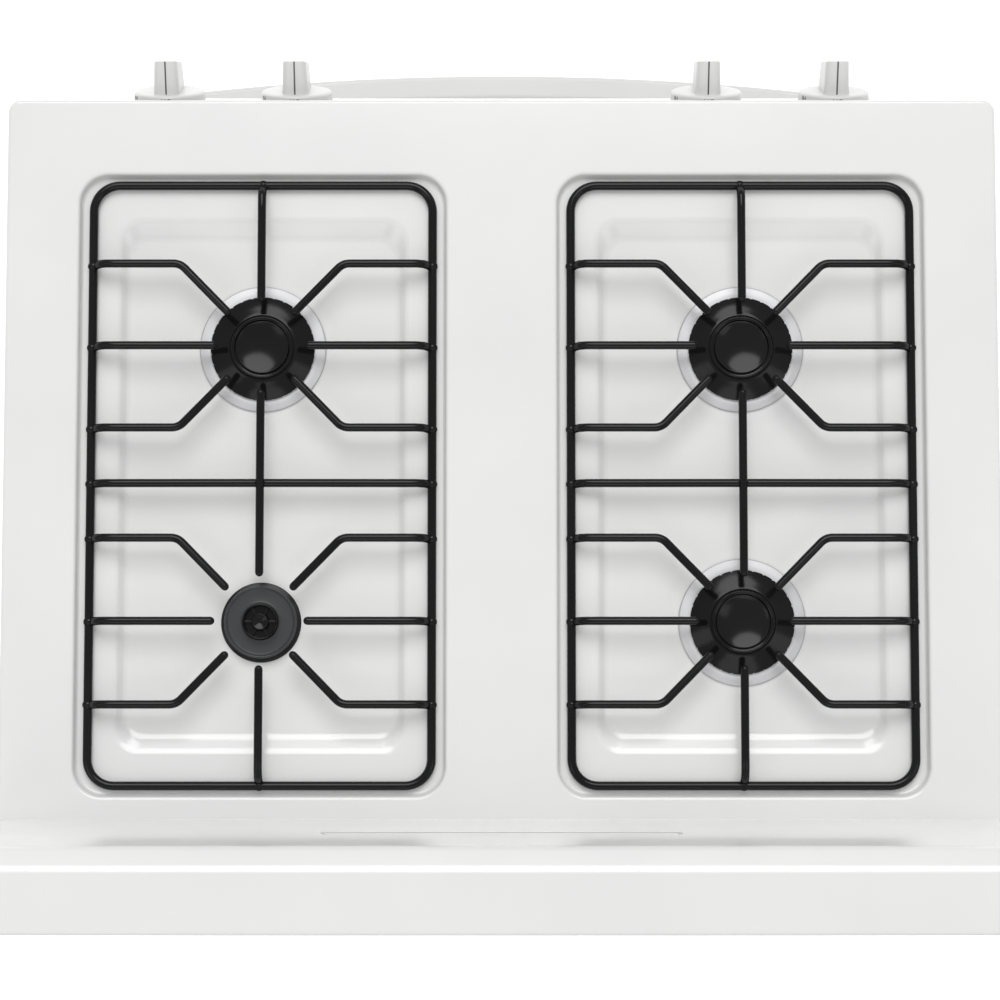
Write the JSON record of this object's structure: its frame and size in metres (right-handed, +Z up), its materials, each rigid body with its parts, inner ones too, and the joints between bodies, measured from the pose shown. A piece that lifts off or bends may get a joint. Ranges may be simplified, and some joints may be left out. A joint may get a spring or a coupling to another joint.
{
  "type": "freestanding gas range",
  "caption": "Freestanding gas range: enamelled cooktop with sealed burners under wire grates, slanted knob panel, low backguard, drop-down oven door and broiler drawer.",
  "frame": {"origin": "on the floor under the middle of the range's bounding box", "axes": "+Z up, -Y out of the front, +X to the right of someone facing the front"},
  "size_m": [0.76, 0.699, 1.018],
  "materials": {
    "white_enamel": "glossy white enamel",
    "black_enamel": "glossy black enamel",
    "grey_enamel": "speckled dark grey enamel",
    "zinc_steel": "plain zinc-coated steel",
    "aluminium": "satin cast aluminium",
    "brass": "machined brass",
    "white_plastic": "white moulded plastic",
    "dark_glass": "dark tinted glass",
    "black_plastic": "matt black plastic",
    "chrome": "chrome-plated wire"
  },
  "bodies": {
    "body": {"side_panel_left": "white_enamel", "side_panel_right": "white_enamel", "rear_panel": "zinc_steel", "base_pan": "zinc_steel", "front_frame": "black_enamel", "oven_liner": "grey_enamel", "oven_floor": "grey_enamel", "oven_burner": "zinc_steel", "flue_duct": "zinc_steel", "backguard": "white_enamel", "cooktop": "white_enamel", "manifold_panel": "white_enamel", "gas_manifold": "zinc_steel", "pressure_regulator": "zinc_steel", "oven_thermostat": "brass", "drawer_rail_left": "zinc_steel", "drawer_rail_right": "zinc_steel", "hinge_arm_left": "zinc_steel", "hinge_arm_right": "zinc_steel", "valve_front_left": "brass", "valve_rear_left": "brass", "valve_rear_right": "brass", "valve_front_right": "brass", "burner_base_front_left": "aluminium", "burner_base_front_right": "aluminium", "burner_base_rear_left": "aluminium", "burner_base_rear_right": "black_enamel", "burner_head_front_left": "black_enamel", "burner_head_front_right": "black_enamel", "burner_head_rear_left": "black_enamel", "burner_head_rear_right": "grey_enamel"},
    "door": {"door_panel": "white_enamel", "door_liner": "grey_enamel", "door_window": "dark_glass", "door_handle": "white_plastic"},
    "drawer": {"drawer_front": "white_enamel", "drawer_tray": "zinc_steel", "broiler_pan": "black_enamel"},
    "foot_front_left": {"foot_front_left": "black_plastic"},
    "foot_front_right": {"foot_front_right": "black_plastic"},
    "foot_rear_left": {"foot_rear_left": "black_plastic"},
    "foot_rear_right": {"foot_rear_right": "black_plastic"},
    "burner_cap_front_left": {"burner_cap_front_left": "black_enamel"},
    "burner_cap_front_right": {"burner_cap_front_right": "black_enamel"},
    "burner_cap_rear_left": {"burner_cap_rear_left": "black_enamel"},
    "burner_cap_rear_right": {"burner_cap_rear_right": "black_enamel"},
    "grate_left": {"grate_left": "black_enamel"},
    "grate_right": {"grate_right": "black_enamel"},
    "stem_front_left": {"stem_front_left": "zinc_steel"},
    "knob_front_left": {"knob_front_left": "white_plastic"},
    "stem_rear_left": {"stem_rear_left": "zinc_steel"},
    "knob_rear_left": {"knob_rear_left": "white_plastic"},
    "stem_rear_right": {"stem_rear_right": "zinc_steel"},
    "knob_rear_right": {"knob_rear_right": "white_plastic"},
    "stem_front_right": {"stem_front_right": "zinc_steel"},
    "knob_front_right": {"knob_front_right": "white_plastic"},
    "oven_control": {"stem_oven": "zinc_steel", "oven_dial": "white_plastic"},
    "rack_lower": {"oven_rack_lower": "chrome"},
    "rack_upper": {"oven_rack_upper": "chrome"}
  },
  "joints": [
    {"name": "foot_front_left_turn", "type": "hinge", "parent": "body", "child": "foot_front_left", "pos_m": [-0.321, -0.2115, 0], "axis": [0, 0, 1], "continuous": true},
    {"name": "foot_front_right_turn", "type": "hinge", "parent": "body", "child": "foot_front_right", "pos_m": [0.321, -0.2115, 0], "axis": [0, 0, 1], "continuous": true},
    {"name": "foot_rear_left_turn", "type": "hinge", "parent": "body", "child": "foot_rear_left", "pos_m": [-0.321, 0.3045, 0], "axis": [0, 0, 1], "continuous": true},
    {"name": "foot_rear_right_turn", "type": "hinge", "parent": "body", "child": "foot_rear_right", "pos_m": [0.321, 0.3045, 0], "axis": [0, 0, 1], "continuous": true},
    {"name": "cap_front_left_lift", "type": "slide", "parent": "body", "child": "burner_cap_front_left", "axis": [0, 0, 1], "range_m": [0, 0.03]},
    {"name": "cap_front_right_lift", "type": "slide", "parent": "body", "child": "burner_cap_front_right", "axis": [0, 0, 1], "range_m": [0, 0.03]},
    {"name": "cap_rear_left_lift", "type": "slide", "parent": "body", "child": "burner_cap_rear_left", "axis": [0, 0, 1], "range_m": [0, 0.03]},
    {"name": "cap_rear_right_lift", "type": "slide", "parent": "body", "child": "burner_cap_rear_right", "axis": [0, 0, 1], "range_m": [0, 0.03]},
    {"name": "grate_left_lift", "type": "slide", "parent": "body", "child": "grate_left", "axis": [0, 0, 1], "range_m": [0, 0.08]},
    {"name": "grate_right_lift", "type": "slide", "parent": "body", "child": "grate_right", "axis": [0, 0, 1], "range_m": [0, 0.08]},
    {"name": "valve_front_left_turn", "type": "hinge", "parent": "body", "child": "stem_front_left", "pos_m": [-0.262, -0.29262, 0.8585], "axis": [0, -0.9063, 0.4226], "range_deg": [0, 240]},
    {"name": "knob_front_left_push", "type": "slide", "parent": "stem_front_left", "child": "knob_front_left", "axis": [0, 0.9063, -0.4226], "range_m": [0, 0.003], "stiffness_N_per_m": 400, "springref_m": -0.003},
    {"name": "valve_rear_left_turn", "type": "hinge", "parent": "body", "child": "stem_rear_left", "pos_m": [-0.1615, -0.29262, 0.8585], "axis": [0, -0.9063, 0.4226], "range_deg": [0, 240]},
    {"name": "knob_rear_left_push", "type": "slide", "parent": "stem_rear_left", "child": "knob_rear_left", "axis": [0, 0.9063, -0.4226], "range_m": [0, 0.003], "stiffness_N_per_m": 400, "springref_m": -0.003},
    {"name": "valve_rear_right_turn", "type": "hinge", "parent": "body", "child": "stem_rear_right", "pos_m": [0.1615, -0.29262, 0.8585], "axis": [0, -0.9063, 0.4226], "range_deg": [0, 240]},
    {"name": "knob_rear_right_push", "type": "slide", "parent": "stem_rear_right", "child": "knob_rear_right", "axis": [0, 0.9063, -0.4226], "range_m": [0, 0.003], "stiffness_N_per_m": 400, "springref_m": -0.003},
    {"name": "valve_front_right_turn", "type": "hinge", "parent": "body", "child": "stem_front_right", "pos_m": [0.262, -0.29262, 0.8585], "axis": [0, -0.9063, 0.4226], "range_deg": [0, 240]},
    {"name": "knob_front_right_push", "type": "slide", "parent": "stem_front_right", "child": "knob_front_right", "axis": [0, 0.9063, -0.4226], "range_m": [0, 0.003], "stiffness_N_per_m": 400, "springref_m": -0.003},
    {"name": "oven_dial_turn", "type": "hinge", "parent": "body", "child": "oven_control", "pos_m": [0, -0.28353, 0.878], "axis": [0, -0.9063, 0.4226], "range_deg": [0, 270]},
    {"name": "door_swing", "type": "hinge", "parent": "body", "child": "door", "pos_m": [0, -0.2845, 0.314], "axis": [1, 0, 0], "range_deg": [0, 88], "stiffness_Nm_per_rad": 12, "springref_deg": -14.32},
    {"name": "drawer_slide", "type": "slide", "parent": "body", "child": "drawer", "axis": [0, -1, 0], "range_m": [0, 0.35]},
    {"name": "rack_lower_slide", "type": "slide", "parent": "body", "child": "rack_lower", "axis": [0, -1, 0], "range_m": [0, 0.185]},
    {"name": "rack_upper_slide", "type": "slide", "parent": "body", "child": "rack_upper", "axis": [0, -1, 0], "range_m": [0, 0.235]}
  ],
  "couplings": [
    {"joint": "rack_lower_slide", "follows": "door_swing", "m_per_rad": 0.12},
    {"joint": "rack_upper_slide", "follows": "door_swing", "m_per_rad": 0.15}
  ]
}
